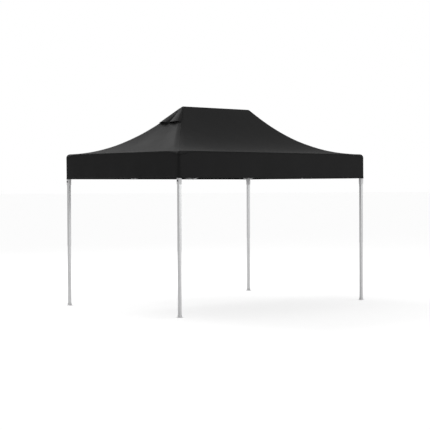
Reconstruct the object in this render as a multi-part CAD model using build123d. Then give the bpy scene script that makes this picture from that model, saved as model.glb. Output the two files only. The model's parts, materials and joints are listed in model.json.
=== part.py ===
from build123d import *
import math
import os

# Folding canopy: four telescopic legs, a scissor frame and a sewn cover. Millimetres, +Z up.
# X runs along the length, Y along the width, and the origin is on the floor under the middle.

# scissor bars
BAR_L = 1441.0          # pin to pin
TRUSS_H = 380.0         # height between the upper and the lower pins when open
BAR_T, BAR_D = 14.0, 28.0
BAR_WALL = 1.3
BAR_CUT = 24.0          # the tube stops this far short of its end pins
GAP_IN = 5.5            # half the gap between the two bars of a scissor
LUG_T = 10.4
RIVET_R, RIVET_HOLE_R, HEAD_R, HEAD_T = 4.0, 4.1, 8.0, 2.0

# pin distances from the middle of what carries them
ARM_LEG_X, ARM_LEG_Y = 48.0, 78.0
ARM_SIDE, ARM_CROSS, ARM_HUB = 30.0, 38.0, 40.0

# heights
TOP_PIN_Z = 2611.0
LOW_PIN_Z = TOP_PIN_Z - TRUSS_H
HEM_Z, EAVE_Z, RIDGE_Z = 2211.0, 2646.0, 3474.0

# legs
LEG_W, LEG_WALL, LEG_R = 50.0, 2.5, 5.0
UPPER_Z0, UPPER_Z1 = 1047.0, 2634.0
GROOVE_W, GROOVE_D = 7.0, 1.2
LOWER_W, LOWER_WALL, LOWER_TOP = 44.0, 2.0, 1350.0
CAP_W, CAP_R, CAP_Z0, CAP_Z1 = 58.0, 12.0, 2571.0, 2641.0
FOOT_W, FOOT_T, FOOT_R = 84.0, 5.0, 10.0
FOOT_HOLE_R, FOOT_PITCH = 4.5, 62.0
BOOT_W, BOOT_H = 56.0, 38.0

# sliders and their pull locks
SLIDER_W, SLIDER_BORE, SLIDER_Z0, SLIDER_Z1 = 62.0, 50.8, 2113.0, 2248.0
LOCK_Z, LOCK_R, LOCK_TIP = 2168.0, 3.0, 0.8
KNOB_R, KNOB_L = 12.0, 10.0
WEB_DROP = 20.0         # the webs of a slider's ears end behind the hem

# peak posts
HUB_R, HUB_H = 22.0, 50.0
POST_R, POST_WALL, POST_Z1 = 14.0, 1.8, 3451.0
GUIDE_R, GUIDE_BORE, GUIDE_Z0 = 17.0, 14.5, 2340.0

# cover
CLOTH_T = 0.6
EDGE = 42.0             # the valance stands this far outside the leg middles
SEG_LONG, SEG_SHORT, SEG_CORNER = 18, 12, 3
RINGS = [0.0, 0.06, 0.16, 0.29, 0.43, 0.57, 0.7, 0.82, 0.91, 0.96, 1.0]
PANEL_SAG = 20.0        # how far the middle of a roof panel hangs
RIDGE_LEFT, RIDGE_RIGHT = -820.0, 772.0     # the ridge's ends, a little past the posts
BOW_LEFT, BOW_RIGHT = 35.0, -25.0           # how far the hips bow out towards the ends
RISE_POWER = 2.10

SPAN = math.sqrt(BAR_L**2 - TRUSS_H**2)
ANGLE = math.degrees(math.asin(TRUSS_H / BAR_L))
LEG_X = (2 * ARM_LEG_X + 3 * SPAN + 4 * ARM_SIDE) / 2
LEG_Y = ARM_LEG_Y + SPAN
JOINT_X = SPAN / 2 + ARM_SIDE
OFFSET = GAP_IN + BAR_T / 2

LEGS = {
    "back_left": (-1, 1),
    "front_left": (-1, -1),
    "front_right": (1, -1),
    "back_right": (1, 1),
}
# each scissor: name, start, end, turn of its run about Z, arm at the start, arm at the end
RIGHT, BACK, LEFT, FRONT = 0, 90, 180, 270
AT = {
    "leg_bl": (-LEG_X, LEG_Y), "leg_fl": (-LEG_X, -LEG_Y),
    "leg_fr": (LEG_X, -LEG_Y), "leg_br": (LEG_X, LEG_Y),
    "fl": (-JOINT_X, -LEG_Y), "fr": (JOINT_X, -LEG_Y), "bl": (-JOINT_X, LEG_Y), "br": (JOINT_X, LEG_Y),
    "hub_l": (-JOINT_X, 0.0), "hub_r": (JOINT_X, 0.0), "mid_l": (-LEG_X, 0.0), "mid_r": (LEG_X, 0.0),
}
SCISSORS = [
    ("cross_left_front", "hub_l", "fl", FRONT, ARM_HUB, ARM_CROSS),
    ("cross_left_back", "hub_l", "bl", BACK, ARM_HUB, ARM_CROSS),
    ("cross_right_front", "fr", "hub_r", BACK, ARM_CROSS, ARM_HUB),
    ("cross_right_back", "hub_r", "br", BACK, ARM_HUB, ARM_CROSS),
    ("front_left", "fl", "leg_fl", LEFT, ARM_SIDE, ARM_LEG_X),
    ("front_middle", "fl", "fr", RIGHT, ARM_SIDE, ARM_SIDE),
    ("front_right", "fr", "leg_fr", RIGHT, ARM_SIDE, ARM_LEG_X),
    ("back_left", "bl", "leg_bl", LEFT, ARM_SIDE, ARM_LEG_X),
    ("back_middle", "bl", "br", RIGHT, ARM_SIDE, ARM_SIDE),
    ("back_right", "br", "leg_br", RIGHT, ARM_SIDE, ARM_LEG_X),
    ("left_front", "leg_fl", "mid_l", BACK, ARM_LEG_Y, 0.0),
    ("left_back", "mid_l", "leg_bl", BACK, 0.0, ARM_LEG_Y),
    ("right_front", "leg_fr", "mid_r", BACK, ARM_LEG_Y, 0.0),
    ("right_back", "mid_r", "leg_br", BACK, 0.0, ARM_LEG_Y),
]


def run_of(turn):
    """The level direction of a scissor, and the direction across it."""
    a = math.radians(turn)
    along = (round(math.cos(a)), round(math.sin(a)))
    return along, (-along[1], along[0])


def across(radius, y0, y1, x=0.0, z=0.0):
    """A round bar along Y from y0 to y1."""
    return Pos(x, (y0 + y1) / 2, z) * Rot(90, 0, 0) * Cylinder(radius, abs(y1 - y0))


def box(x0, x1, y0, y1, z0, z1):
    return Pos((x0 + x1) / 2, (y0 + y1) / 2, (z0 + z1) / 2) * Box(x1 - x0, y1 - y0, z1 - z0)


def square_tube(width, wall, radius, z0, z1):
    outer = extrude(RectangleRounded(width, width, radius), z1 - z0)
    inner = extrude(RectangleRounded(width - 2 * wall, width - 2 * wall, max(radius - wall, 1.0)), z1 - z0)
    return Pos(0, 0, z0) * (outer - inner)


def bar_solids():
    """A bar lying along X: a flat tube and the two end plugs that take the rivets."""
    half = BAR_L / 2
    length = BAR_L - 2 * BAR_CUT
    outer = extrude(Plane.YZ * RectangleRounded(BAR_T, BAR_D, 3.0), length)
    inner = Box(length * 2, BAR_T - 2 * BAR_WALL, BAR_D - 2 * BAR_WALL)
    tube = Pos(-length / 2, 0, 0) * outer - inner - across(RIVET_HOLE_R, -BAR_T, BAR_T)
    plug = across(BAR_D / 2, -BAR_T / 2, BAR_T / 2)
    plug += box(-BAR_CUT, 0, -BAR_T / 2, BAR_T / 2, -BAR_D / 2, BAR_D / 2)
    tongue_t, tongue_d = BAR_T / 2 - BAR_WALL, BAR_D / 2 - BAR_WALL
    plug += box(-BAR_CUT - 30, -BAR_CUT, -tongue_t, tongue_t, -tongue_d, tongue_d)
    plug -= across(RIVET_HOLE_R, -BAR_T, BAR_T)
    return [tube, Pos(half, 0, 0) * plug, Pos(-half, 0, 0) * Rot(0, 0, 180) * plug]


def joining_rivet(side):
    """A rivet that a bar carries to the bar beyond it on that side, with the spacer between the two."""
    near, far = -side * BAR_T / 2, side * (BAR_T / 2 + 2 * GAP_IN)
    end = far + side * (BAR_T + 0.3)
    pin = across(RIVET_R, near, end)
    pin += across(HEAD_R, near, near - side * HEAD_T) + across(HEAD_R, end, end + side * HEAD_T)
    spacer = across(10.0, side * BAR_T / 2, far - side * 0.3) - across(RIVET_R, -60, 60)
    return [pin, spacer]


def place_bar(solids, start, turn, arm, down):
    """Put a bar between its pins, to one side of the run. It goes down from its start, or up."""
    along, side = run_of(turn)
    x, y = AT[start]
    reach = arm + SPAN / 2
    off = OFFSET if down else -OFFSET
    x += along[0] * reach + side[0] * off
    y += along[1] * reach + side[1] * off
    place = Pos(x, y, (TOP_PIN_Z + LOW_PIN_Z) / 2) * Rot(0, 0, turn) * Rot(0, ANGLE if down else -ANGLE, 0)
    return [place * s for s in solids]


def lug(arm, root, thick=LUG_T, high=26.0):
    """A flat ear along +X from root to the pin at arm, drilled for its rivet."""
    ear = box(root, arm, -thick / 2, thick / 2, -high / 2, high / 2)
    ear += across(high / 2, -thick / 2, thick / 2, x=arm)
    return ear - across(RIVET_R, -20, 20, x=arm)


def rivet(arm, side):
    """The rivet of an ear, through the bar that lies on this side of it."""
    end = side * (GAP_IN + BAR_T + 0.3)
    pin = across(RIVET_R, -side * LUG_T / 2, end, x=arm)
    pin += across(HEAD_R, -side * LUG_T / 2, -side * (LUG_T / 2 + HEAD_T), x=arm)
    return pin + across(HEAD_R, end, end + side * HEAD_T, x=arm)


def ears_of(station, upper):
    """Every ear of a station at its upper or lower pins: its turn, its arm and the side its bar is on."""
    found = []
    for _, start, end, turn, arm_a, arm_b in SCISSORS:
        if start == station:
            found.append((turn, arm_a, 1 if upper else -1))
        if end == station:
            # seen from the far end, the run points the other way and so does its side
            found.append(((turn + 180) % 360, arm_b, 1 if upper else -1))
    return found


def with_ears(body, station, upper, root, webs=None):
    """A body with its ears fused on, and the rivets as separate solids, all around the pin height."""
    rivets = []
    for turn, arm, side in ears_of(station, upper):
        body += Rot(0, 0, turn) * (webs(arm) if webs else lug(arm, root))
        rivets.append(Rot(0, 0, turn) * rivet(arm, side))
    return body, rivets


def slider_web(arm):
    """The ear of a slider, braced by a small web under it."""
    root = SLIDER_W / 2 - 1
    shape = Plane.XZ * make_face(Polyline(
        (root, 13), (arm, 13), (arm + 13, 0), (arm + 9, -11), (root, -WEB_DROP), close=True))
    web = Pos(0, LUG_T / 2, 0) * extrude(shape, LUG_T)
    web += across(13.0, -LUG_T / 2, LUG_T / 2, x=arm)
    return web - across(RIVET_R, -20, 20, x=arm)


def put(solids, x, y, z=0.0):
    return [Pos(x, y, z) * s for s in solids]


def save(name, solids):
    os.makedirs("parts", exist_ok=True)
    flat = []
    for s in solids:
        flat += list(s.solids())
    shape = flat[0] if len(flat) == 1 else Compound(children=[Solid(f.wrapped) for f in flat])
    export_step(shape, f"parts/{name}.step")


def upper_leg(name, sx, sy):
    """The outer leg tube with its top bracket, grooved on its outer face for the lock's tip."""
    tube = square_tube(LEG_W, LEG_WALL, LEG_R, UPPER_Z0, UPPER_Z1)
    face = sx * LEG_W / 2
    tube -= box(min(face, face - sx * GROOVE_D), max(face, face - sx * GROOVE_D),
                -GROOVE_W / 2, GROOVE_W / 2, UPPER_Z0 - 1, CAP_Z0 - 5)
    cap = Pos(0, 0, CAP_Z0) * extrude(RectangleRounded(CAP_W, CAP_W, CAP_R), CAP_Z1 - CAP_Z0)
    cap -= Pos(0, 0, CAP_Z0) * extrude(RectangleRounded(LEG_W, LEG_W, LEG_R), UPPER_Z1 - CAP_Z0)
    cap = Pos(0, 0, -TOP_PIN_Z) * cap
    cap, rivets = with_ears(cap, name, True, CAP_W / 2 - 1)
    return [tube] + put([cap] + rivets, 0, 0, TOP_PIN_Z)


def slider(name, sx):
    """The collar that carries the lower pins up and down the leg."""
    body = Pos(0, 0, SLIDER_Z0) * extrude(RectangleRounded(SLIDER_W, SLIDER_W, 9.0), SLIDER_Z1 - SLIDER_Z0)
    body = Pos(0, 0, -LOW_PIN_Z) * body
    body, rivets = with_ears(body, name, False, 0, slider_web)
    bore = extrude(RectangleRounded(SLIDER_BORE, SLIDER_BORE, LEG_R + 0.4), 400)
    body -= Pos(0, 0, -200) * bore
    body -= Pos(sx * SLIDER_W / 2, 0, LOCK_Z - LOW_PIN_Z) * Rot(0, 90, 0) * Cylinder(LOCK_R + 0.1, 30)
    return put([body] + rivets, 0, 0, LOW_PIN_Z)


def slider_lock(sx):
    """A spring pin with its pull knob; the tip stands in the leg's groove."""
    tip, face = LEG_W / 2 - LOCK_TIP, SLIDER_W / 2 + 0.5
    pin = Pos(sx * (tip + face + 1) / 2, 0, LOCK_Z) * Rot(0, 90, 0) * Cylinder(LOCK_R, face + 1 - tip)
    knob = Pos(sx * (face + KNOB_L / 2), 0, LOCK_Z) * Rot(0, 90, 0) * Cylinder(KNOB_R, KNOB_L)
    knob -= Pos(sx * (face + KNOB_L * 0.45), 0, LOCK_Z) * Rot(0, 90, 0) * (
        Cylinder(KNOB_R + 1, 3.0) - Cylinder(KNOB_R - 2.5, 3.0))
    return [pin + knob]


def lower_leg():
    """The inner leg tube, its boot and the foot plate with four stake holes."""
    tube = square_tube(LOWER_W, LOWER_WALL, 4.0, FOOT_T, LOWER_TOP)
    plate = extrude(RectangleRounded(FOOT_W, FOOT_W, FOOT_R), FOOT_T)
    for x in (-1, 1):
        for y in (-1, 1):
            hole = Cylinder(FOOT_HOLE_R, FOOT_T * 2)
            plate -= Pos(x * FOOT_PITCH / 2, y * FOOT_PITCH / 2, FOOT_T / 2) * hole
    boot = Pos(0, 0, FOOT_T) * extrude(RectangleRounded(BOOT_W, BOOT_W, 7.0), BOOT_H, taper=4)
    boot -= Pos(0, 0, FOOT_T) * extrude(RectangleRounded(LOWER_W, LOWER_W, 4.0), BOOT_H)
    plug = Pos(0, 0, LOWER_TOP) * extrude(RectangleRounded(LOWER_W - 0.4, LOWER_W - 0.4, 4.0), 6)
    return [tube, plate, boot, plug]


def side_joint(station, upper):
    """The three way bracket where two side scissors and a cross scissor meet."""
    body = extrude(RectangleRounded(24, 24, 4.0), 44)
    body, rivets = with_ears(Pos(0, 0, -22) * body, station, upper, 8)
    return put([body] + rivets, *AT[station], TOP_PIN_Z if upper else LOW_PIN_Z)


def peak_post(station):
    """The lower hub with the post that holds up a peak."""
    hub, rivets = with_ears(Cylinder(HUB_R, HUB_H), station, False, HUB_R - 4)
    hub -= Cylinder(POST_R, HUB_H * 2)
    z0 = LOW_PIN_Z - HUB_H / 2
    post = Cylinder(POST_R, POST_Z1 - z0) - Cylinder(POST_R - POST_WALL, POST_Z1 - z0)
    post = Pos(0, 0, (POST_Z1 + z0) / 2) * post
    tip = Pos(0, 0, POST_Z1) * (Sphere(POST_R) - Pos(0, 0, -POST_R) * Box(60, 60, 2 * POST_R))
    x, y = AT[station]
    return put([hub] + rivets, x, y, LOW_PIN_Z) + put([post, tip], x, y)


def peak_hub(station):
    """The upper hub with the long guide that the post runs in."""
    guide = Pos(0, 0, (GUIDE_Z0 + TOP_PIN_Z) / 2 - TOP_PIN_Z) * Cylinder(GUIDE_R, TOP_PIN_Z - GUIDE_Z0)
    hub, rivets = with_ears(Cylinder(HUB_R, HUB_H) + guide, station, True, HUB_R - 4)
    hub -= Cylinder(GUIDE_BORE, 1200)
    return put([hub] + rivets, *AT[station], TOP_PIN_Z)


# The cover is worked out on rings between the eave and the ridge.

def outline():
    """Points round the eave from the front left corner, each with where it leads to on the ridge,
    from -1 at its left end to 1 at its right end, and how far it is from the corners, up to 1."""
    cx, cy, hx, hy = LEG_X, LEG_Y, LEG_X + EDGE, LEG_Y + EDGE
    points = []
    corners = [(-1, -1, 180), (1, -1, 270), (1, 1, 0), (-1, 1, 90)]
    for k, (sx, sy, a0) in enumerate(corners):
        for i in range(SEG_CORNER + 1):
            a = math.radians(a0 + 90 * i / SEG_CORNER)
            points.append((sx * cx + EDGE * math.cos(a), sy * cy + EDGE * math.sin(a), sx, 0.0))
        long_side = k in (0, 2)
        count = SEG_LONG if long_side else SEG_SHORT
        for i in range(1, count):
            t = i / count
            if k == 0:
                x = -cx + 2 * cx * t
                points.append((x, -hy, x / cx, 1 - abs(2 * t - 1)))
            elif k == 1:
                points.append((hx, -cy + 2 * cy * t, 1, 1 - abs(2 * t - 1)))
            elif k == 2:
                x = cx - 2 * cx * t
                points.append((x, hy, x / cx, 1 - abs(2 * t - 1)))
            else:
                points.append((-hx, cy - 2 * cy * t, -1, 1 - abs(2 * t - 1)))
    return points


def rise(s):
    """How far up towards the ridge the cloth is at s, from 0 at the eave to 1."""
    return s**RISE_POWER


def bow(side, s):
    """How far a point moves towards the end of the cover: side is -1 at the left hips, 1 at the right."""
    return side**3 * (BOW_LEFT if side < 0 else BOW_RIGHT) * 4 * s * (1 - s)


def ridge_at(side):
    return (RIDGE_LEFT + RIDGE_RIGHT) / 2 + side * (RIDGE_RIGHT - RIDGE_LEFT) / 2


def ring_points(s, drop=0.0):
    out = []
    for x, y, side, middle in outline():
        sag = PANEL_SAG * 16 * (s * (1 - s))**2 * math.sin(math.pi / 2 * min(1.0, 1.6 * middle))
        z = EAVE_Z + (RIDGE_Z - EAVE_Z) * rise(s) - sag + drop
        out.append((x + (ridge_at(side) - x) * s + bow(side, s), y * (1 - s), z))
    return out


def cloth(rings):
    """A closed thin solid over rings of points: the cloth's upper side and the same points lower down."""
    faces = []

    def patch(*corners):
        kept = [c for i, c in enumerate(corners) if math.dist(c, corners[i - 1]) > 1e-6]
        if len(kept) >= 3:
            faces.append(Face(Wire.make_polygon([Vector(*c) for c in kept], close=True)))

    for lift in (CLOTH_T, 0.0):
        for low, high in zip(rings, rings[1:]):
            n = len(low)
            for i in range(n):
                j = (i + 1) % n
                a, b, c, d = ((x, y, z + lift) for x, y, z in (low[i], low[j], high[j], high[i]))
                patch(a, b, c)
                patch(a, c, d)
    first = rings[0]
    for i in range(len(first)):
        a, b = first[i], first[(i + 1) % len(first)]
        patch(a, b, (b[0], b[1], b[2] + CLOTH_T))
        patch(a, (b[0], b[1], b[2] + CLOTH_T), (a[0], a[1], a[2] + CLOTH_T))
    return Solid(Shell(faces))


def valance():
    """The straight skirt below the eave, with rounded corners and a doubled hem."""
    wide, deep = 2 * (LEG_X + EDGE), 2 * (LEG_Y + EDGE)
    outer = extrude(RectangleRounded(wide, deep, EDGE), EAVE_Z - HEM_Z)
    hollow = RectangleRounded(wide - 2 * CLOTH_T, deep - 2 * CLOTH_T, EDGE - CLOTH_T)
    inner = extrude(hollow, EAVE_Z - HEM_Z)
    return Pos(0, 0, HEM_Z) * (outer - inner)


# The vent is on the left end panel: a cap sewn along both hips, with two mouths along its lower edge.
VENT_S0, VENT_S1 = 0.81, 0.965
VENT_OUT, VENT_UP, VENT_GAP = 42.0, 26.0, 10.0
VENT_ACROSS = [-0.9, -0.68, -0.45, -0.22, 0.0, 0.22, 0.45, 0.68, 0.9]


def end_panel_point(s, across_part, lift=0.0):
    """A point of the left end panel: s up the panel, across_part from -1 at one hip to 1 at the other."""
    x = -(LEG_X + EDGE) * (1 - s) + RIDGE_LEFT * s + bow(-1, s)
    middle = 1 - abs(across_part)
    sag = PANEL_SAG * 16 * (s * (1 - s))**2 * math.sin(math.pi / 2 * min(1.0, 1.6 * middle))
    z = EAVE_Z + (RIDGE_Z - EAVE_Z) * rise(s) - sag
    return (x, LEG_Y * across_part * (1 - s), z + CLOTH_T + lift)


def thin_panel(rows, thick):
    """A thin closed solid over rows of points."""
    faces = []

    def patch(*corners):
        faces.append(Face(Wire.make_polygon([Vector(*c) for c in corners], close=True)))

    def up(p):
        return (p[0], p[1], p[2] + thick)

    for low, high in zip(rows, rows[1:]):
        for i in range(len(low) - 1):
            quad = (low[i], low[i + 1], high[i + 1], high[i])
            for q in (quad, tuple(up(p) for p in quad)):
                patch(q[0], q[1], q[2])
                patch(q[0], q[2], q[3])
    rim = rows[0] + [r[-1] for r in rows[1:-1]] + rows[-1][::-1] + [r[0] for r in rows[-2:0:-1]]
    for i, p in enumerate(rim):
        q = rim[(i + 1) % len(rim)]
        patch(p, q, up(q))
        patch(p, up(q), up(p))
    return Solid(Shell(faces))


def vent_hood():
    """The cap: its lower edge stands off the panel in two arches, and it runs straight up to the peak."""
    low, high = [], []
    for a in VENT_ACROSS:
        puff = abs(math.sin(math.pi * a / 0.9))
        x, y, z = end_panel_point(VENT_S0, a, VENT_GAP)
        low.append((x - VENT_OUT * puff, y, z + VENT_UP * puff))
        high.append(end_panel_point(VENT_S1, a, VENT_GAP))
    rows = [
        [tuple(p + (q - p) * k / 3 for p, q in zip(one, two)) for one, two in zip(low, high)]
        for k in range(4)]
    return thin_panel(rows, 0.8)


def vent_mesh():
    """The insect mesh under the two mouths."""
    rows = [
        [end_panel_point(VENT_S0 - 0.015 + 0.07 * k, a * 0.94, 7.0) for a in VENT_ACROSS]
        for k in range(2)]
    return [thin_panel(rows, 0.8)]


SIDE_JOINTS = {"fl": "front_left", "fr": "front_right", "bl": "back_left", "br": "back_right"}


def main():
    bar = bar_solids()
    centre = joining_rivet(-1)
    for name, start, end, turn, arm_a, arm_b in SCISSORS:
        down, up = list(bar) + centre, list(bar)
        if end.startswith("mid"):
            # the far ends of these bars carry the rivets of the bars beyond them
            down += put(joining_rivet(-1), BAR_L / 2, 0)
            up += put(joining_rivet(1), BAR_L / 2, 0)
        save(f"scissor_{name}_a", place_bar(down, start, turn, arm_a, True))
        save(f"scissor_{name}_b", place_bar(up, start, turn, arm_a, False))
    for (leg, (sx, sy)), station in zip(LEGS.items(), ("leg_bl", "leg_fl", "leg_fr", "leg_br")):
        x, y = AT[station]
        save(f"upper_leg_{leg}", put(upper_leg(station, sx, sy), x, y))
        save(f"slider_{leg}", put(slider(station, sx), x, y))
        save(f"slider_lock_{leg}", put(slider_lock(sx), x, y))
        save(f"lower_leg_{leg}", put(lower_leg(), x, y))
    for station, where in SIDE_JOINTS.items():
        save(f"upper_joint_{where}", side_joint(station, True))
        save(f"lower_joint_{where}", side_joint(station, False))
    for station, where in (("hub_l", "left"), ("hub_r", "right")):
        save(f"peak_post_{where}", peak_post(station))
        save(f"peak_hub_{where}", peak_hub(station))
    save("roof_fabric", [cloth([ring_points(s) for s in RINGS])])
    save("valance_fabric", [valance()])
    save("vent_hood", [vent_hood()])
    save("vent_mesh", vent_mesh())


main()
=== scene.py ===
import json
import math

import bmesh
import bpy
import numpy as np
from mathutils import Matrix, Vector, noise

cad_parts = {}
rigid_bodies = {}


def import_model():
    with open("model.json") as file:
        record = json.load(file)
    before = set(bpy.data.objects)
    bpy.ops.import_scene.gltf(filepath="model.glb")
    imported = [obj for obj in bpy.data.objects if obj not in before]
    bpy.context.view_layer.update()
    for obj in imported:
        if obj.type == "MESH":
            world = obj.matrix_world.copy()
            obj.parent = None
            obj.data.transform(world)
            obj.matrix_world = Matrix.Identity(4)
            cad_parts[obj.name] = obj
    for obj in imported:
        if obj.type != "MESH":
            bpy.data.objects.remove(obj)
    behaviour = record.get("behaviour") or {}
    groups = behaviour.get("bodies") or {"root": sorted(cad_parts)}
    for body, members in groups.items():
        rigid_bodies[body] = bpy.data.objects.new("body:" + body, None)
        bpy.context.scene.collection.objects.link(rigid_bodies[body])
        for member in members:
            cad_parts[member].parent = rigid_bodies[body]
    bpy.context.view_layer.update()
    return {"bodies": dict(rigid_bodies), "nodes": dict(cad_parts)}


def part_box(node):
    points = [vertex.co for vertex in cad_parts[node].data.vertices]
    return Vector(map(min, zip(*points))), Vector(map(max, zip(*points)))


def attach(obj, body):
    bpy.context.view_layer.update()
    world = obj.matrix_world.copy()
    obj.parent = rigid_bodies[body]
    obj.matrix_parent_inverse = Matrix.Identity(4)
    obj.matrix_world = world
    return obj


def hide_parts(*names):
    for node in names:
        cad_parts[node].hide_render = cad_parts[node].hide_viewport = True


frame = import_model()
NODES = frame["nodes"]
BODIES = frame["bodies"]

# ---------------------------------------------------------------- sizes, in metres, as on the frame


def middle(node):
    lo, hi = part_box(node)
    return (Vector(lo) + Vector(hi)) / 2


def tube_axis(node):
    """The middle of a leg's foot, which is the leg's own axis."""
    m = middle(node)
    return m.x, m.y


LEG_X, LEG_Y = (abs(v) for v in tube_axis("lower_leg_front_left"))
ROOF_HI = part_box("roof_fabric")[1]
SKIRT_LO, SKIRT_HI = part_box("valance_fabric")
EDGE = ROOF_HI.x - LEG_X
EAVE_Z, HEM_Z = SKIRT_HI.z, SKIRT_LO.z
RIDGE_Z = ROOF_HI.z
POST_LO, POST_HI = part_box("peak_post_left")
JOINT_X = -(POST_LO.x + POST_HI.x) / 2
RIDGE_LEFT, RIDGE_RIGHT = -0.820, 0.772
BOW_LEFT, BOW_RIGHT, RISE_POWER, PANEL_SAG = 0.035, -0.025, 2.10, 0.020
POST_DROP = 1.061       # how far the posts and sliders run down when the frame is folded
POST_END, HUB_TOP = POST_HI.z - 0.0141, POST_LO.z + 0.0505
CAP_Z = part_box("upper_leg_front_left")[1].z - 0.0702
BOOT_Z = 0.0435
CLOTH_T = 0.0006
LOOSE_SAG = 0.012       # how much more than PANEL_SAG the cloth hangs between the hips
ROOF_RUN, SKIRT_RUN = 1.75, 0.435       # lengths of cloth up the roof and down the valance
STITCH, STITCH_GAP, STITCH_W = 0.0062, 0.0022, 0.0011
CAP_HALF = 0.0295       # half the width of a corner bracket's top
CAP_UNDER = 0.006       # how far under the eave line a bracket's top stays
FLOOR_HALF = 900

# ---------------------------------------------------------------- node helpers


class Nodes:
    """A short way to write a node tree."""

    def __init__(self, name):
        self.mat = bpy.data.materials.new(name)
        self.mat.use_nodes = True
        self.tree = self.mat.node_tree
        self.bsdf = self.tree.nodes["Principled BSDF"]

    def add(self, kind, values=(), **props):
        n = self.tree.nodes.new(kind)
        for k, v in props.items():
            setattr(n, k, v)
        for k, v in dict(values).items():
            if isinstance(v, bpy.types.NodeSocket):
                self.tree.links.new(v, n.inputs[k])
            else:
                n.inputs[k].default_value = v
        return n

    def link(self, a, b):
        self.tree.links.new(a, b)

    def math(self, op, a, b=0.0, c=0.0):
        n = self.add("ShaderNodeMath", operation=op)
        for i, v in enumerate((a, b, c)):
            if isinstance(v, bpy.types.NodeSocket):
                self.link(v, n.inputs[i])
            else:
                n.inputs[i].default_value = v
        return n.outputs[0]

    def mix(self, share, a, b):
        n = self.add("ShaderNodeMix", data_type="RGBA")
        for key, v in ((0, share), (6, a), (7, b)):
            if isinstance(v, bpy.types.NodeSocket):
                self.link(v, n.inputs[key])
            else:
                n.inputs[key].default_value = v if key == 0 else (*v[:3], 1.0)
        return n.outputs[2]

    def blend(self, share, a, b):
        """A number between a and b."""
        n = self.add("ShaderNodeMix", data_type="FLOAT")
        for key, v in ((0, share), (2, a), (3, b)):
            if isinstance(v, bpy.types.NodeSocket):
                self.link(v, n.inputs[key])
            else:
                n.inputs[key].default_value = v
        return n.outputs[0]

    def noise(self, vector, scale, detail=3.0, rough=0.55):
        return self.add("ShaderNodeTexNoise", {"Vector": vector, "Scale": scale, "Detail": detail,
                                               "Roughness": rough}).outputs["Fac"]

    def place(self, what="Object"):
        return self.add("ShaderNodeTexCoord").outputs[what]

    def scaled(self, vector, scale):
        return self.add("ShaderNodeMapping", {"Vector": vector, "Scale": scale}).outputs[0]

    def bump(self, height, strength, distance, base=None):
        n = self.add("ShaderNodeBump", {"Height": height, "Strength": strength, "Distance": distance})
        if base is not None:
            self.link(base, n.inputs["Normal"])
        return n.outputs[0]

    def set(self, **values):
        names = {"color": "Base Color", "rough": "Roughness", "metal": "Metallic", "normal": "Normal",
                 "spec": "Specular IOR Level", "sheen": "Sheen Weight", "sheen_rough": "Sheen Roughness"}
        for k, v in values.items():
            s = self.bsdf.inputs[names[k]]
            if isinstance(v, bpy.types.NodeSocket):
                self.link(v, s)
            elif k == "color":
                s.default_value = (*v[:3], 1.0)
            else:
                s.default_value = v
        return self.mat


def cloth_material(name, tone):
    """Coated polyester: an even plain weave, soft changes of tone, and a few lighter rubbed patches."""
    n = Nodes(name)
    uv = n.add("ShaderNodeUVMap", uv_map="cloth").outputs[0]
    split = n.add("ShaderNodeSeparateXYZ", {"Vector": uv})
    pitch = 0.0011
    warp = n.math("SINE", n.math("MULTIPLY", split.outputs[0], 2 * math.pi / pitch))
    weft = n.math("SINE", n.math("MULTIPLY", split.outputs[1], 2 * math.pi / pitch))
    weave = n.math("MULTIPLY", warp, weft)
    place = n.place()
    broad = n.noise(place, 1.4, 4.0)
    fine = n.noise(place, 42.0, 3.0)
    rub = n.noise(n.scaled(place, (3.0, 3.0, 14.0)), 2.0, 5.0, 0.62)
    dark = tuple(c * 0.82 for c in tone)
    light = tuple(c * 1.28 for c in tone)
    color = n.mix(n.math("MULTIPLY", broad, 0.9), dark, light)
    rubbed = n.math("MULTIPLY", n.math("GREATER_THAN", rub, 0.66), 0.10)
    color = n.mix(rubbed, color, tuple(c * 2.0 for c in tone))
    color = n.mix(n.math("MULTIPLY_ADD", weave, 0.06, 0.06), color, tuple(c * 1.6 for c in tone))
    rough = n.math("ADD", n.blend(broad, 0.60, 0.74), n.math("MULTIPLY", fine, 0.06))
    normal = n.bump(weave, 0.22, 0.0004)
    crease = n.noise(n.scaled(place, (1.0, 1.0, 1.6)), 3.2, 5.0, 0.5)
    normal = n.bump(crease, 0.10, 0.035, normal)
    n.set(color=color, rough=rough, normal=normal, spec=0.19, sheen=0.03, sheen_rough=0.45)
    return n.mat


def mesh_material(name):
    """Insect mesh: fine black threads, with the gaps between them painted near-black as painted shade for the
    dark seen through the holes.
    """
    n = Nodes(name)
    uv = n.add("ShaderNodeUVMap", uv_map="cloth").outputs[0]
    split = n.add("ShaderNodeSeparateXYZ", {"Vector": uv})
    pitch = 0.0022
    one = n.math("ABSOLUTE", n.math("SINE", n.math("MULTIPLY", split.outputs[0], math.pi / pitch)))
    two = n.math("ABSOLUTE", n.math("SINE", n.math("MULTIPLY", split.outputs[1], math.pi / pitch)))
    thread = n.math("MAXIMUM", n.math("LESS_THAN", one, 0.45), n.math("LESS_THAN", two, 0.45))
    color = n.mix(n.noise(n.place(), 30.0), (0.004, 0.004, 0.004), (0.009, 0.009, 0.009))
    # painted shade: the gaps between the threads get a near-black colour for the dark behind the mesh
    color = n.mix(thread, (0.001, 0.001, 0.001), color)
    return n.set(color=color, rough=0.85, normal=n.bump(thread, 0.4, 0.0004))


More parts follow.
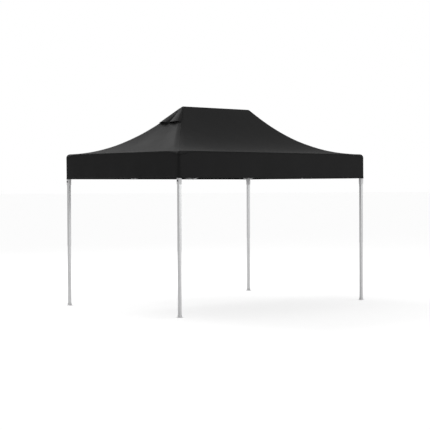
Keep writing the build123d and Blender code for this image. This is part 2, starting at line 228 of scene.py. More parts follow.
def metal_material(name, tone, along=2, rough=0.34, cap=None, cap_tone=(0.55, 0.55, 0.56), low_cap=None):
    """Satin anodised aluminium drawn along one axis, with plastic ends above or below a height."""
    n = Nodes(name)
    place = n.place()
    stretch = [260.0, 260.0, 260.0]
    stretch[along] = 1.2
    lines = n.noise(n.scaled(place, tuple(stretch)), 1.0, 4.0, 0.6)
    cloud = n.noise(place, 2.6, 4.0)
    scuff = n.noise(n.scaled(place, (30.0, 30.0, 8.0)), 1.6, 6.0, 0.7)
    color = n.mix(lines, tuple(c * 0.94 for c in tone), tone)
    color = n.mix(n.math("MULTIPLY", cloud, 0.25), color, tuple(c * 0.88 for c in tone))
    worn = n.math("GREATER_THAN", scuff, 0.69)
    color = n.mix(n.math("MULTIPLY", worn, 0.35), color, tuple(c * 0.78 for c in tone))
    r = n.math("ADD", n.blend(lines, rough - 0.05, rough + 0.07), n.math("MULTIPLY", worn, 0.12))
    normal = n.bump(lines, 0.10, 0.0003)
    metal = 1.0
    if cap is not None or low_cap is not None:
        z = n.add("ShaderNodeSeparateXYZ", {"Vector": place}).outputs[2]
        mask = n.math("GREATER_THAN", z, cap) if cap is not None else n.math("LESS_THAN", z, low_cap)
        if cap is not None and low_cap is not None:
            mask = n.math("MAXIMUM", mask, n.math("LESS_THAN", z, low_cap))
        grain = n.noise(place, 900.0, 2.0)
        plastic = n.mix(n.noise(place, 8.0), tuple(c * 0.92 for c in cap_tone), cap_tone)
        color = n.mix(mask, color, plastic)
        r = n.blend(mask, r, n.math("MULTIPLY_ADD", grain, 0.12, 0.44))
        metal = n.math("SUBTRACT", 1.0, mask)
    return n.set(color=color, rough=r, metal=metal, normal=normal)


def plastic_material(name, tone, rough=0.46):
    """Moulded nylon: a fine spark texture, faint flow marks and rubbed edges."""
    n = Nodes(name)
    place = n.place()
    grain = n.noise(place, 1300.0, 2.0)
    flow = n.noise(n.scaled(place, (9.0, 9.0, 22.0)), 1.0, 4.0)
    rub = n.noise(place, 70.0, 5.0, 0.7)
    color = n.mix(flow, tuple(c * 0.93 for c in tone), tuple(min(1.0, c * 1.05) for c in tone))
    color = n.mix(n.math("MULTIPLY", n.math("GREATER_THAN", rub, 0.64), 0.2), color,
                  tuple(min(1.0, c * 0.8 + 0.02) for c in tone))
    r = n.math("ADD", n.math("MULTIPLY", grain, 0.10), n.blend(flow, rough - 0.04, rough + 0.06))
    return n.set(color=color, rough=r, normal=n.bump(grain, 0.18, 0.0002), spec=0.45)


BLACK = (0.0078, 0.0078, 0.0080)
M_CLOTH = cloth_material("black_polyester", BLACK)
M_HEM = cloth_material("black_hem_tape", tuple(c * 0.8 for c in BLACK))
M_CAP = cloth_material("black_vent_cloth", tuple(c * 0.72 for c in BLACK))
M_THREAD = plastic_material("polyester_thread", (0.022, 0.022, 0.023), 0.6)
M_MESH = mesh_material("insect_mesh")
M_LEG = metal_material("leg_aluminium", (0.86, 0.865, 0.87), 2, 0.36, cap=CAP_Z)
M_LOWER = metal_material("lower_leg_aluminium", (0.86, 0.865, 0.87), 2, 0.36, low_cap=BOOT_Z,
                         cap_tone=(0.80, 0.80, 0.805))
M_POST = metal_material("post_aluminium", (0.72, 0.725, 0.73), 2, 0.34, cap=POST_END, low_cap=HUB_TOP,
                        cap_tone=(0.28, 0.28, 0.285))
M_BAR = metal_material("bar_aluminium", (0.70, 0.705, 0.71), 0, 0.36)
M_BRACKET = plastic_material("bracket_nylon", (0.42, 0.42, 0.43))
M_SLIDER = plastic_material("slider_nylon", (0.82, 0.82, 0.825), 0.42)
M_KNOB = plastic_material("lock_knob", (0.045, 0.045, 0.048), 0.4)

# ---------------------------------------------------------------- mesh helpers


def mesh_object(name, verts, faces, uvs=None, material=None, smooth=True):
    mesh = bpy.data.meshes.new(name)
    mesh.from_pydata([tuple(v) for v in verts], [], faces)
    if uvs is not None:
        layer = mesh.uv_layers.new(name="cloth")
        for loop in mesh.loops:
            layer.data[loop.index].uv = uvs[loop.vertex_index]
    mesh.update()
    for p in mesh.polygons:
        p.use_smooth = smooth
    obj = bpy.data.objects.new(name, mesh)
    bpy.context.scene.collection.objects.link(obj)
    if material:
        mesh.materials.append(material)
    return obj


def grid_object(name, rows, uv_rows, material, loop=False):
    """A sheet over rows of points; loop joins the end of every row to its start."""
    verts, uvs, faces = [], [], []
    wide = len(rows[0])
    for row, uv_row in zip(rows, uv_rows):
        verts += row
        uvs += uv_row
    for r in range(len(rows) - 1):
        for i in range(wide if loop else wide - 1):
            j = (i + 1) % wide
            faces.append((r * wide + i, r * wide + j, (r + 1) * wide + j, (r + 1) * wide + i))
    return mesh_object(name, verts, faces, uvs, material)


def solidify(obj, thickness, offset=-1.0):
    m = obj.modifiers.new("thickness", "SOLIDIFY")
    m.thickness = thickness
    m.offset = offset


def bevel(obj, width, segments=2, angle=40.0):
    m = obj.modifiers.new("edges", "BEVEL")
    m.width = width
    m.segments = segments
    m.limit_method = "ANGLE"
    m.angle_limit = math.radians(angle)
    m.harden_normals = False


def clamp(v, lo=0.0, hi=1.0):
    return max(lo, min(hi, v))


# ---------------------------------------------------------------- how the cover follows the folding frame
# The legs, joints, hubs and posts only slide as the frame folds, so a point of the cover follows a mix
# of the ones around it. The cloth comes down onto the hubs as the posts draw back.
STATIONS = {
    (0, 0): ["upper_leg_front_left"], (3, 0): ["upper_leg_front_right"],
    (0, 2): ["upper_leg_back_left"], (3, 2): ["upper_leg_back_right"],
    (1, 0): ["upper_joint_front_left"], (2, 0): ["upper_joint_front_right"],
    (1, 2): ["upper_joint_back_left"], (2, 2): ["upper_joint_back_right"],
    (0, 1): ["upper_leg_front_left", "upper_leg_back_left"],
    (3, 1): ["upper_leg_front_right", "upper_leg_back_right"],
    (1, 1): ["peak_hub_left"], (2, 1): ["peak_hub_right"],
}
POSTS = {(1, 1): "peak_post_left", (2, 1): "peak_post_right"}
XS = [-LEG_X, -JOINT_X, JOINT_X, LEG_X]
YS = [-LEG_Y, 0.0, LEG_Y]
SETTLE = 0.93           # how much of the roof's height the cloth gives up when the frame is folded


def share_on(line, v):
    v = clamp(v, line[0], line[-1])
    for i in range(len(line) - 1):
        if v <= line[i + 1]:
            t = (v - line[i]) / (line[i + 1] - line[i])
            return {i: 1 - t, i + 1: t}
    return {len(line) - 1: 1.0}


def follow_weights(p):
    """How much of each body's slide the point p takes; the parts add up to 1."""
    weights = {}
    down = clamp(SETTLE * (p[2] - EAVE_Z) / POST_DROP)
    near = [((i, j), wx * wy) for i, wx in share_on(XS, p[0]).items()
            for j, wy in share_on(YS, p[1]).items() if wx * wy > 0]
    hub_total = sum(w for place, w in near if place in POSTS)
    for place, w in near:
        if place in POSTS:
            part = min(w, down * w / max(hub_total, 1e-9))
            weights[POSTS[place]] = weights.get(POSTS[place], 0) + part
            weights[STATIONS[place][0]] = weights.get(STATIONS[place][0], 0) + w - part
        else:
            for body in STATIONS[place]:
                weights[body] = weights.get(body, 0) + w / len(STATIONS[place])
    return weights


ROOT = "peak_hub_left"
TRIMS = {"roof": [], "valance": [], "cap": []}      # the tapes and stitching sewn to each cloth


def follow(obj):
    """Ride on the middle hub, and let every point slide with the bodies around it."""
    groups = {}
    for v in obj.data.vertices:
        for body, w in follow_weights(v.co).items():
            if body != ROOT and w > 1e-5:
                groups.setdefault(body, []).append((v.index, w))
    for body, found in sorted(groups.items()):
        group = obj.vertex_groups.new(name=body)
        for index, w in found:
            group.add([index], w, "REPLACE")
        m = obj.modifiers.new(f"with_{body}", "HOOK")
        m.object = BODIES[body]
        m.vertex_group = group.name
        m.falloff_type = "NONE"
        m.strength = 1.0
    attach(obj, ROOT)
    return obj


def trim(part, obj, thickness=None):
    """A tape or a line of stitching, sewn to one of the cloths and moving with it."""
    follow(obj)
    if thickness:
        solidify(obj, thickness, 1.0)
    TRIMS[part].append(obj)


# ---------------------------------------------------------------- the shape of the roof


CORNERS = [(-1, -1, 180), (1, -1, 270), (1, 1, 0), (-1, 1, 90)]


def rise(s):
    return s**RISE_POWER


def end_x(side, s):
    """Half the cloth's length at s, towards the left end for side -1 and the right end for 1."""
    ridge, bow = (-RIDGE_LEFT, BOW_LEFT) if side < 0 else (RIDGE_RIGHT, BOW_RIGHT)
    return (LEG_X + EDGE) * (1 - s) + ridge * s + bow * 4 * s * (1 - s)


def outline(long_seg, short_seg, corner_seg):
    """Points round the eave: x, y and the length round so far."""
    points = []
    for k, (sx, sy, a0) in enumerate(CORNERS):
        for i in range(corner_seg + 1):
            a = math.radians(a0 + 90 * i / corner_seg)
            points.append([sx * LEG_X + EDGE * math.cos(a), sy * LEG_Y + EDGE * math.sin(a)])
        count = long_seg if k % 2 == 0 else short_seg
        for i in range(1, count):
            t = 2 * i / count - 1
            points.append([(t * LEG_X, -LEG_Y - EDGE), (LEG_X + EDGE, t * LEG_Y),
                           (-t * LEG_X, LEG_Y + EDGE), (-LEG_X - EDGE, -t * LEG_Y)][k])
    run, out = 0.0, []
    for i, p in enumerate(points):
        if i:
            run += math.dist(p, points[i - 1])
        out.append((p[0], p[1], run))
    return out


def pull(x, y, s):
    """Small tension folds from three sizes of noise, fading out towards the eave and the ridge."""
    slow = noise.noise(Vector((x * 0.9, y * 0.9, 3.1)))
    fold = noise.noise(Vector((x * 2.3 + 7, y * 2.3, s * 0.7)))
    fine = noise.noise(Vector((x * 7.0, y * 7.0, 1.7)))
    keep = (s * (1 - s) * 4) ** 0.6 if 0 < s < 1 else 0.0
    return keep * (0.004 * slow + 0.0035 * fold + 0.0010 * fine)


HIP_ROUND = 0.10        # the cloth turns over the hips and the ridge, it doesn't fold there
HIP_GROW = 0.293        # how much of that radius the plan grows by, to keep the hips where they are
RIDGE_ROUND = 0.010
RIDGE_ROUND_DROP = 0.73
SHOULDER_CORNER, SHOULDER_SIDE = 0.062, 0.012   # radius of the roll over the eave
LONG, SHORT, TURN = 150, 100, 12


def level(s, side=-1):
    """Half sizes and corner radius of the cloth's plan at s, from the eave at 0 to the ridge at 1."""
    extra = HIP_ROUND * (4 * s * (1 - s)) ** 0.8 if 0 < s < 1 else 0.0
    half_y = (LEG_Y + EDGE) * (1 - s)
    radius = min(EDGE * (1 - s) + extra, half_y * 0.9 + 1e-5)
    grow = HIP_GROW * (radius - EDGE * (1 - s))
    return end_x(side, s) + grow, half_y + grow, max(radius, 1e-5)


def height(x, y, s, mid, half_y):
    """How high the cloth is: it rises to the ridge, hangs between the hips, and rolls over the corners."""
    sag = (PANEL_SAG + LOOSE_SAG) * 16 * (s * (1 - s)) ** 2 * math.sin(math.pi / 2 * min(1.0, 1.6 * mid))
    crest = RIDGE_ROUND_DROP * (math.hypot(half_y, RIDGE_ROUND) - half_y)
    return EAVE_Z + (RIDGE_Z - EAVE_Z) * rise(s) - sag - crest + pull(x, y, s) - shoulder(x, y)


def shoulder(x, y):
    """How far the eave is pulled down round the corner brackets and, a little, along the sides."""
    from_end, from_side = LEG_X + EDGE - abs(x), LEG_Y + EDGE - abs(y)
    corner = 1 - clamp((math.hypot(max(from_end, 0), max(from_side, 0)) - 0.03) / 0.27)
    reach = SHOULDER_SIDE + (SHOULDER_CORNER - SHOULDER_SIDE) * corner * corner * (3 - 2 * corner)
    bend_x, bend_y = max(EDGE - from_end, 0), max(EDGE - from_side, 0)
    inset = EDGE - math.hypot(bend_x, bend_y) if bend_x and bend_y else min(from_end, from_side)
    inset = clamp(inset, 0, reach)
    return reach - math.sqrt(max(reach * reach - (reach - inset) ** 2, 0.0))


def cloth_ring(s, lift=0.0):
    """The cloth's points at s, all the way round."""
    points = []
    for k, (sx, sy, a0) in enumerate(CORNERS):
        hx, hy, r = level(s, sx)
        for i in range(TURN + 1):
            a = math.radians(a0 + 90 * i / TURN)
            points.append((sx * (hx - r) + r * math.cos(a), sy * (hy - r) + r * math.sin(a), 0.0))
        count = LONG if k % 2 == 0 else SHORT
        left, right = -level(s, -1)[0] + r, level(s, 1)[0] - r
        for i in range(1, count):
            t = i / count
            along = [(left + (right - left) * t, -hy), (hx, (2 * t - 1) * (hy - r)),
                     (right + (left - right) * t, hy), (-hx, (1 - 2 * t) * (hy - r))][k]
            points.append((*along, 1 - abs(2 * t - 1)))
    return [(x, y, height(x, y, s, mid, hy) + lift) for x, y, mid in points]


def lengths_round(points):
    runs = [0.0]
    for p, q in zip(points, points[1:]):
        runs.append(runs[-1] + math.dist(p, q))
    return runs


def build_roof():
    fine = [0.0, 0.0004, 0.001, 0.002, 0.0035, 0.0055, 0.008, 0.011, 0.0145, 0.019, 0.024, 0.030, 0.037]
    rest = [0.045 + 0.9545 * k / 70 for k in range(71)]
    rows, uvs = [], []
    for s in fine + rest:
        row = cloth_ring(s, CLOTH_T)
        rows.append(row)
        uvs.append([(run, ROOF_RUN * s) for run in lengths_round(row)])
    obj = grid_object("roof_cloth", rows, uvs, M_CLOTH, loop=True)
    bm = bmesh.new()
    bm.from_mesh(obj.data)
    top = [v for v in bm.verts if v.index >= (len(rows) - 1) * len(rows[0])]
    bmesh.ops.contextual_create(bm, geom=top)
    bmesh.ops.recalc_face_normals(bm, faces=bm.faces)
    bm.to_mesh(obj.data)
    bm.free()
    if obj.data.polygons[0].normal.z < 0:
        obj.data.flip_normals()
    for face in obj.data.polygons:
        face.use_smooth = True
    return obj


roof = build_roof()
follow(roof)
solidify(roof, CLOTH_T)
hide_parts("roof_fabric")


def skirt_offset(run, x, y, drop):
    """How far the valance hangs out of line at this place and this far down it."""
    wave = 0.0035 * math.sin(run * 5.1 + 0.7) + 0.0025 * math.sin(run * 11.3 + 2.0)
    slow = 0.006 * noise.noise(Vector((x * 0.8, y * 0.8, 0.4)))
    return drop**1.5 * (wave + slow + 0.007)


def build_valance():
    pts = outline(LONG, SHORT, 10)
    centre = [(clamp(p[0], -LEG_X, LEG_X), clamp(p[1], -LEG_Y, LEG_Y)) for p in pts]
    steps = 26
    rows, uvs = [], []
    for k in range(steps + 1):
        drop = k / steps
        row = []
        for (x, y, run), (cx, cy) in zip(pts, centre):
            away = Vector((x - cx, y - cy, 0)).normalized()
            top = EAVE_Z - shoulder(x, y)
            z = top - (top - HEM_Z) * drop
            off = skirt_offset(run, x, y, (EAVE_Z - z) / (EAVE_Z - HEM_Z))
            row.append((x + away.x * off, y + away.y * off, z))
        rows.append(row)
        uvs.append([(run, -SKIRT_RUN * drop) for *_, run in pts])
    return grid_object("valance_cloth", rows, uvs, M_CLOTH, loop=True), pts, centre


valance, SKIRT_PTS, SKIRT_MID = build_valance()
follow(valance)
solidify(valance, CLOTH_T, 1.0)
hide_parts("valance_fabric")


def ring_along(name, points, radius, sides, material):
    """A thin round welt swept along a closed ring of points."""
    verts, faces, uvs = [], [], []
    n = len(points)
    run = 0.0
    for i, p in enumerate(points):
        p = Vector(p)
        a = Vector(points[i - 1])
        b = Vector(points[(i + 1) % n])
        t = (b - a).normalized()
        up = Vector((0, 0, 1))
        if abs(t.z) > 0.95:
            up = Vector((0, 1, 0))
        side = t.cross(up).normalized()
        top = side.cross(t).normalized()
        if i:
            run += (p - Vector(points[i - 1])).length
        for k in range(sides):
            ang = 2 * math.pi * k / sides
            verts.append(p + side * radius * math.cos(ang) + top * radius * math.sin(ang))
            uvs.append((run, radius * ang))
    for i in range(n):
        j = (i + 1) % n
        for k in range(sides):
            m = (k + 1) % sides
            faces.append((i * sides + k, j * sides + k, j * sides + m, i * sides + m))
    return mesh_object(name, verts, faces, uvs, material)


def skirt_ring(z, out, from_eave=False):
    """A line round the valance at height z, or z below the eave seam, standing out from the cloth."""
    ring = []
    for (x, y, run), (cx, cy) in zip(SKIRT_PTS, SKIRT_MID):
        away = Vector((x - cx, y - cy, 0)).normalized()
        here = EAVE_Z - shoulder(x, y) - z if from_eave else z
        off = skirt_offset(run, x, y, clamp((EAVE_Z - here) / (EAVE_Z - HEM_Z))) + out
        ring.append((x + away.x * off, y + away.y * off, here))
    return ring


def band(name, z0, z1, out, material, rows=4, from_eave=False):
    """A strip of doubled cloth on the outside of the valance, a little crowned."""
    grid, uvs = [], []
    for k in range(rows + 1):
        t = k / rows
        lift = out * math.sin(math.pi * clamp(t * 0.9 + 0.05)) ** 0.5
        grid.append(skirt_ring(z0 + (z1 - z0) * t, lift, from_eave))
        uvs.append([(p[2], z0 + (z1 - z0) * t) for p in SKIRT_PTS])
    return grid_object(name, grid, uvs, material, loop=True)


trim("valance", band("valance_hem", HEM_Z + 0.0005, HEM_Z + 0.026, 0.0016, M_HEM), CLOTH_T)
eave_piping = ring_along("eave_piping", skirt_ring(0.001, 0.0004, True), 0.0016, 8, M_HEM)
trim("valance", eave_piping)
trim("valance", band("eave_seam", 0.014, 0.003, 0.0013, M_HEM, from_eave=True), 0.0005)


def stitches(name, path, length, gap, width, normal_of):
    """Single stitches laid end to end along a path of points."""
    verts, faces = [], []
    total = sum(math.dist(path[i], path[i + 1]) for i in range(len(path) - 1))
    ends, acc = [0.0], 0.0
    for i in range(len(path) - 1):
        acc += math.dist(path[i], path[i + 1])
        ends.append(acc)
    seg = 0

    def at(d):
        nonlocal seg
        while seg < len(path) - 2 and ends[seg + 1] < d:
            seg += 1
        t = (d - ends[seg]) / max(ends[seg + 1] - ends[seg], 1e-9)
        return Vector(path[seg]).lerp(Vector(path[seg + 1]), clamp(t))

    d = gap
    while d + length < total:
        a, b = at(d), at(d + length)
        t = (b - a).normalized()
        n = normal_of(a)
        side = t.cross(n).normalized() * width / 2
        base = len(verts)
        mid = (a + b) / 2 + n * width * 0.55
        verts += [a - side * 0.4, a + side * 0.4, mid - side, mid + side, b - side * 0.4, b + side * 0.4]
        faces += [(base, base + 1, base + 3, base + 2), (base + 2, base + 3, base + 5, base + 4)]
        d += length + gap
    return mesh_object(name, verts, faces, None, M_THREAD)


def out_of_box(p):
    c = Vector((clamp(p.x, -LEG_X, LEG_X), clamp(p.y, -LEG_Y, LEG_Y), 0))
    return Vector((p.x - c.x, p.y - c.y, 0)).normalized()


for k, z in enumerate((HEM_Z + 0.0055, HEM_Z + 0.0215)):
    ring = skirt_ring(z, 0.0024)
    seam = stitches(f"hem_stitching_{k + 1}", ring + ring[:1], STITCH, STITCH_GAP, STITCH_W, out_of_box)
    trim("valance", seam)
ring = skirt_ring(0.0095, 0.0022, True)
trim("valance", stitches("eave_stitching", ring + ring[:1], STITCH, STITCH_GAP, STITCH_W, out_of_box))


# ---------------------------------------------------------------- seams of the roof


def hip_line(sx, sy, count=90, lift=0.0, start=0.002, end=0.993):
    """Points up a hip, on the middle of its turn."""
    corner = {(-1, -1): 0, (1, -1): 1, (1, 1): 2, (-1, 1): 3}[(sx, sy)]
    index = sum(TURN + (LONG if k % 2 == 0 else SHORT) for k in range(corner)) + TURN // 2
    return [cloth_ring(start + (end - start) * k / count, lift)[index] for k in range(count + 1)]


def strip_over(name, path, half, lift, material):
    """A flat felled seam: a strip laid along a path, crowned in the middle."""
    rows, uvs = [], []
    n = len(path)
    run = 0.0
    for i, p in enumerate(path):
        p = Vector(p)
        t = (Vector(path[min(i + 1, n - 1)]) - Vector(path[max(i - 1, 0)])).normalized()
        side = t.cross(Vector((0, 0, 1))).normalized()
        up = side.cross(t).normalized()
        if up.z < 0:
            up = -up
        if i:
            run += (p - Vector(path[i - 1])).length
        row = []
        for c, h in ((-1, -0.0012), (-0.7, 0.5), (0, 1.0), (0.7, 0.5), (1, -0.0012)):
            row.append(tuple(p + side * half * c + up * (lift * h if h > 0 else h)))
        rows.append(row)
        uvs.append([(run, half * c) for c in (-1, -0.7, 0, 0.7, 1)])
    return grid_object(name, rows, uvs, material)


HIPS = ((-1, -1, "front_left"), (1, -1, "front_right"), (1, 1, "back_right"), (-1, 1, "back_left"))
for sx, sy, label in HIPS:
    line = hip_line(sx, sy, lift=0.0010)
    trim("roof", strip_over(f"hip_seam_{label}", line, 0.007, 0.0014, M_HEM))
    for side in (-1, 1):
        shifted = []
        for i, p in enumerate(line):
            q = Vector(line[min(i + 1, len(line) - 1)]) - Vector(line[max(i - 1, 0)])
            away = q.cross(Vector((0, 0, 1))).normalized() * 0.0042 * side
            shifted.append(tuple(Vector(p) + away + Vector((0, 0, 0.0013))))
        seam_name = f"hip_stitching_{label}_{'a' if side < 0 else 'b'}"
        trim("roof", stitches(seam_name, shifted, STITCH, STITCH_GAP, STITCH_W, lambda p: Vector((0, 0, 1))))
crest = RIDGE_Z - RIDGE_ROUND_DROP * RIDGE_ROUND
ridge = [(x, 0.0, crest + 0.0010) for x in np.linspace(RIDGE_LEFT, RIDGE_RIGHT, 60)]
trim("roof", strip_over("ridge_seam", ridge, 0.007, 0.0014, M_HEM))

# ---------------------------------------------------------------- the vent on the left end panel
VENT_S0, VENT_S1 = 0.81, 0.975
VENT_OUT, VENT_UP = 0.042, 0.022
VENT_SIDE, MOUTH_SIDE = 0.93, 0.87      # how far across the panel the cap and its mouths reach
VENT_ACROSS = 48


def end_point(s, across, lift=0.0):
    """A point of the left end panel, across from -1 at the front hip to 1 at the back one."""
    hx, hy, r = level(s)
    y = across * hy
    edge = max(0.0, abs(y) - (hy - r))
    x = -hx + r - math.sqrt(max(r * r - edge * edge, 0.0))
    mid = clamp((hy - r - abs(y)) / max(hy - r, 1e-6))
    return Vector((x, y, height(x, y, s, mid, hy) + CLOTH_T + lift))


def puff(across):
    """The two arches of the cap's lower edge: 0 at the hips and where it is sewn down in the middle."""
    return abs(math.sin(math.pi * across / MOUTH_SIDE)) ** 0.8 if abs(across) < MOUTH_SIDE else 0.0


def cap_point(across, t):
    """The cap is stretched straight from its lower edge, t = 0, to the peak, t = 1."""
    a = across * VENT_SIDE
    low = end_point(VENT_S0, a, 0.004)
    high = end_point(VENT_S1, a, 0.004)
    q = low.lerp(high, t) + Vector((-VENT_OUT, 0, VENT_UP)) * puff(a) * (1 - t) ** 1.6
    q.z += 0.003 * math.sin(math.pi * t) + 0.003 * noise.noise(Vector((a * 3, t * 2.5, 5.0))) * (1 - t)
    return q


rows, uvs = [], []
for k in range(25):
    t = k / 24
    rows.append([tuple(cap_point(-1 + 2 * i / VENT_ACROSS, t)) for i in range(VENT_ACROSS + 1)])
    uvs.append([(0.62 * i / VENT_ACROSS, 0.42 * t) for i in range(VENT_ACROSS + 1)])
cap = grid_object("vent_cap_cloth", rows, uvs, M_CAP)
follow(cap)
solidify(cap, 0.0008, 0.0)
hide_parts("vent_hood")

rows, uvs = [], []
for k in range(9):
    s_here = VENT_S0 - 0.012 + 0.010 * k
    rows.append([tuple(end_point(s_here, 0.9 * (-1 + 2 * i / 40), 0.0022)) for i in range(41)])
    uvs.append([(0.58 * i / 40, 0.014 * k) for i in range(41)])
netting = grid_object("vent_netting", rows, uvs, M_MESH)
follow(netting)
solidify(netting, 0.0005, 0.0)
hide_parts("vent_mesh")


def tape_along(name, path, half, lift, toward):
    """A bound edge: a narrow strip folded round an edge of the cap."""
    rows, uvs, run = [], [], 0.0
    for i, p in enumerate(path):
        if i:
            run += (p - path[i - 1]).length
        t = (path[min(i + 1, len(path) - 1)] - path[max(i - 1, 0)]).normalized()
        inward = toward(i)
        inward = (inward - t * inward.dot(t)).normalized()
        up = t.cross(inward).normalized()
        if up.z < 0:
            up = -up
        section = ((1.6, lift), (0.6, lift * 1.3), (-0.05, lift), (-0.12, 0.0), (-0.05, -lift), (1.4, -lift))
        rows.append([tuple(p + inward * half * c + up * h) for c, h in section])
        uvs.append([(run, half * c) for c in (1.6, 0.6, 0, -0.1, -0.6, -1.4)])
    return grid_object(name, rows, uvs, M_HEM)


edge_path = [cap_point(-1 + 2 * i / 96, 0.0) for i in range(97)]
trim("cap", tape_along("vent_edge_tape", edge_path, 0.010, 0.0011,
                       lambda i: cap_point(-1 + 2 * i / 96, 0.08) - edge_path[i]))
for side, label in ((-1, "front"), (1, "back")):
    path = [cap_point(side, t) for t in np.linspace(0, 1, 40)]
    trim("cap", tape_along(f"vent_side_tape_{label}", path, 0.009, 0.0011,
                           lambda i, side=side: cap_point(side * 0.9, i / 39) - cap_point(side, i / 39)))

# ---------------------------------------------------------------- camera, floor and light
FLOOR_GLOW = 0.50
WORLD_BASE = 0.50
# direction, cosines where it starts and is full, and strength
WORLD_LOBES = [((0, 0, 1), 0.0, 0.9, 0.05), ((0.68, -0.73, 0), 0.2, 0.95, 0.25)]
scene = bpy.context.scene
cam_data = bpy.data.cameras.new("camera")
cam = bpy.data.objects.new("camera", cam_data)
scene.collection.objects.link(cam)
scene.camera = cam
SENSOR, LENS_TO_SENSOR = 36.0, 1259.4 / 430.0
cam_data.sensor_width = SENSOR
cam_data.lens = LENS_TO_SENSOR * SENSOR
cam_data.clip_end = 400.0
YAW, PITCH, ROLL = math.radians(42.751), math.radians(1.30), math.radians(-0.24)
cam.location = (-15.301, -16.479, 2.076)
look = Vector((math.sin(YAW) * math.cos(PITCH), math.cos(YAW) * math.cos(PITCH), -math.sin(PITCH)))
cam.rotation_euler = (look.to_track_quat("-Z", "Y").to_matrix() @ Matrix.Rotation(ROLL, 3, "Z")).to_euler()

floor_mat = Nodes("studio_floor")
fine = floor_mat.noise(floor_mat.place(), 0.7, 3.0)
floor_mat.set(color=floor_mat.mix(fine, (0.80, 0.80, 0.80), (0.83, 0.83, 0.83)), rough=0.9, spec=0.05)
floor_mat.bsdf.inputs["Emission Color"].default_value = (1, 1, 1, 1)
seen = floor_mat.add("ShaderNodeLightPath").outputs["Is Camera Ray"]
floor_mat.link(floor_mat.math("MULTIPLY", seen, FLOOR_GLOW), floor_mat.bsdf.inputs["Emission Strength"])
floor_corners = [(sx * FLOOR_HALF, sy * FLOOR_HALF, 0) for sx, sy, _ in CORNERS]
floor = mesh_object("studio_floor", floor_corners, [(0, 1, 2, 3)], None, floor_mat.mat, smooth=False)


def studio_world():
    """A white room: the walls are white to look at, and their light on the object comes mostly from above."""
    world = bpy.data.worlds.new("studio")
    scene.world = world
    world.use_nodes = True
    tree = world.node_tree
    tree.nodes.clear()
    out = tree.nodes.new("ShaderNodeOutputWorld")
    white = tree.nodes.new("ShaderNodeBackground")
    white.inputs[0].default_value = (1, 1, 1, 1)
    white.inputs[1].default_value = 1.0
    lit = tree.nodes.new("ShaderNodeBackground")
    place = tree.nodes.new("ShaderNodeTexCoord")
    total = None
    for aim, low, high, strength in WORLD_LOBES:
        dot = tree.nodes.new("ShaderNodeVectorMath")
        dot.operation = "DOT_PRODUCT"
        tree.links.new(place.outputs["Generated"], dot.inputs[0])
        dot.inputs[1].default_value = Vector(aim).normalized()
        ramp = tree.nodes.new("ShaderNodeMapRange")
        ramp.interpolation_type = "SMOOTHSTEP"
        tree.links.new(dot.outputs["Value"], ramp.inputs["Value"])
        for key, v in (("From Min", low), ("From Max", high), ("To Min", 0.0), ("To Max", strength)):
            ramp.inputs[key].default_value = v
        add = tree.nodes.new("ShaderNodeMath")
        add.operation = "ADD"
        tree.links.new(ramp.outputs[0], add.inputs[0])
        if total is None:
            add.inputs[1].default_value = WORLD_BASE
        else:
            tree.links.new(total, add.inputs[1])
        total = add.outputs[0]
    tree.links.new(total, lit.inputs[1])
    lit.inputs[0].default_value = (1, 1, 1, 1)
    path = tree.nodes.new("ShaderNodeLightPath")
    both = tree.nodes.new("ShaderNodeMixShader")
    tree.links.new(path.outputs["Is Camera Ray"], both.inputs[0])
    tree.links.new(lit.outputs[0], both.inputs[1])
    tree.links.new(white.outputs[0], both.inputs[2])
    tree.links.new(both.outputs[0], out.inputs[0])


studio_world()


def area_light(name, place, aim, size, power):
    data = bpy.data.lights.new(name, "AREA")
    data.shape = "RECTANGLE"
    data.size, data.size_y = size
    data.energy = power
    obj = bpy.data.objects.new(name, data)
    obj.location = place
    obj.rotation_euler = (Vector(aim) - Vector(place)).to_track_quat("-Z", "Y").to_euler()
    scene.collection.objects.link(obj)


area_light("back_softbox", (-1.0, 10.0, 10.5), (0, 0, 2.5), (7.0, 5.0), 600)
area_light("front_fill", (9.0, -14.0, 6.0), (0, 0, 1.5), (5.0, 4.0), 260)
scene.view_settings.view_transform = "Standard"

# ---------------------------------------------------------------- finishes of the carried CAD nodes


def finish_node(name, material, edge=None):
    o = NODES[name]
    for slot in o.material_slots:
        slot.material = material
    if not o.material_slots:
        o.data.materials.append(material)
    if edge:
        bevel(o, edge, 2, 38)


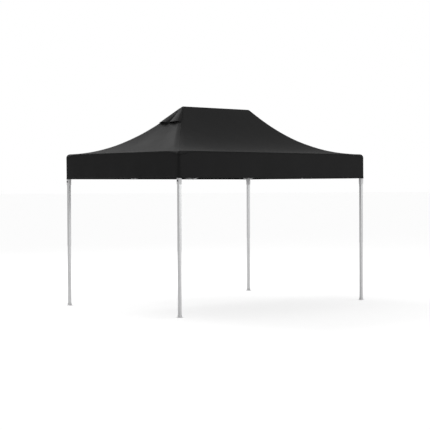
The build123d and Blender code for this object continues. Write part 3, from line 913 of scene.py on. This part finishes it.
def leg_under_cloth(name):
    """The outer leg with the top of its bracket rounded off to lie under the rolled corner of the cloth."""
    mesh = NODES[name].data.copy()
    mesh.name = name.replace("upper_leg", "leg_tube")
    if "custom_normal" in mesh.attributes:
        mesh.attributes.remove(mesh.attributes["custom_normal"])
    lo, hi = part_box(name.replace("upper", "lower"))
    cx, cy = (lo[0] + hi[0]) / 2, (lo[1] + hi[1]) / 2
    bm = bmesh.new()
    bm.from_mesh(mesh)
    bmesh.ops.remove_doubles(bm, verts=bm.verts, dist=1e-6)

    def on_cap(v):
        return v.co.z > CAP_Z - 0.001 and abs(v.co.x - cx) < CAP_HALF and abs(v.co.y - cy) < CAP_HALF

    faces = [f for f in bm.faces if all(on_cap(v) for v in f.verts)]
    bmesh.ops.subdivide_edges(bm, edges=list({e for f in faces for e in f.edges}), cuts=5, use_grid_fill=True)
    for v in bm.verts:
        if v.co.z > CAP_Z:
            v.co.z = min(v.co.z, EAVE_Z - CAP_UNDER - shoulder(v.co.x, v.co.y))
    bmesh.ops.triangulate(bm, faces=[f for f in bm.faces if len(f.verts) > 4])
    bm.to_mesh(mesh)
    bm.free()
    mesh.materials.clear()
    mesh.materials.append(M_LEG)
    for face in mesh.polygons:
        face.use_smooth = True
    mesh.set_sharp_from_angle(angle=math.radians(32))
    leg = bpy.data.objects.new(mesh.name, mesh)
    scene.collection.objects.link(leg)
    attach(leg, name)
    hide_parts(name)


for name in NODES:
    if name in ("roof_fabric", "valance_fabric"):
        continue
    if name.startswith("upper_leg"):
        finish_node(name, M_LEG)
        leg_under_cloth(name)
    elif name.startswith("lower_leg"):
        finish_node(name, M_LOWER)
    elif name.startswith("peak_post"):
        finish_node(name, M_POST)
    elif name.startswith("slider_lock"):
        finish_node(name, M_KNOB, 0.0008)
    elif name.startswith("slider"):
        finish_node(name, M_SLIDER, 0.001)
    elif name.startswith("scissor"):
        finish_node(name, M_BAR)
    elif name in ("vent_hood", "vent_mesh"):
        finish_node(name, M_CLOTH if name == "vent_hood" else M_MESH)
    else:
        finish_node(name, M_BRACKET, 0.0008)
